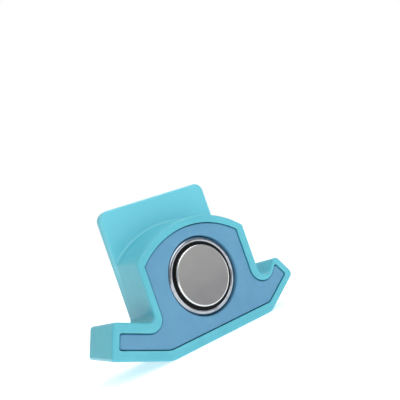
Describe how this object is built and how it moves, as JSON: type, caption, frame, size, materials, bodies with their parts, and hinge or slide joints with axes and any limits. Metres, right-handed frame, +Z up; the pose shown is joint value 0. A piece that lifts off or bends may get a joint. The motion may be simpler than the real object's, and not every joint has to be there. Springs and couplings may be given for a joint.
{
  "type": "magnetic seam guide",
  "caption": "Sewing machine seam guide: a moulded block with a pot magnet in its face, a long straight fabric edge, swept arms and a thumb plate to lift it.",
  "frame": {"origin": "middle of the footprint, in the plane of the long straight guide edge that the guide stands on", "axes": "+Z up from the guide edge to the thumb plate, -Y out of the magnet's face, +X towards the short arm"},
  "size_m": [0.0573, 0.0146, 0.0391],
  "materials": {
    "shell_plastic": "satin turquoise moulding",
    "cover_plastic": "satin sky blue moulding",
    "plated_cup": "bright nickel plate",
    "plated_magnet": "satin nickel plate with a bright bevel",
    "dark_resin": "dark potting resin",
    "adhesive": "double-sided foam adhesive"
  },
  "bodies": {
    "root": {"body_shell": "shell_plastic", "face_cover": "cover_plastic", "magnet_cup": "plated_cup", "disc_magnet": "plated_magnet", "resin_ring": "dark_resin", "adhesive_pad": "adhesive"}
  },
  "joints": []
}
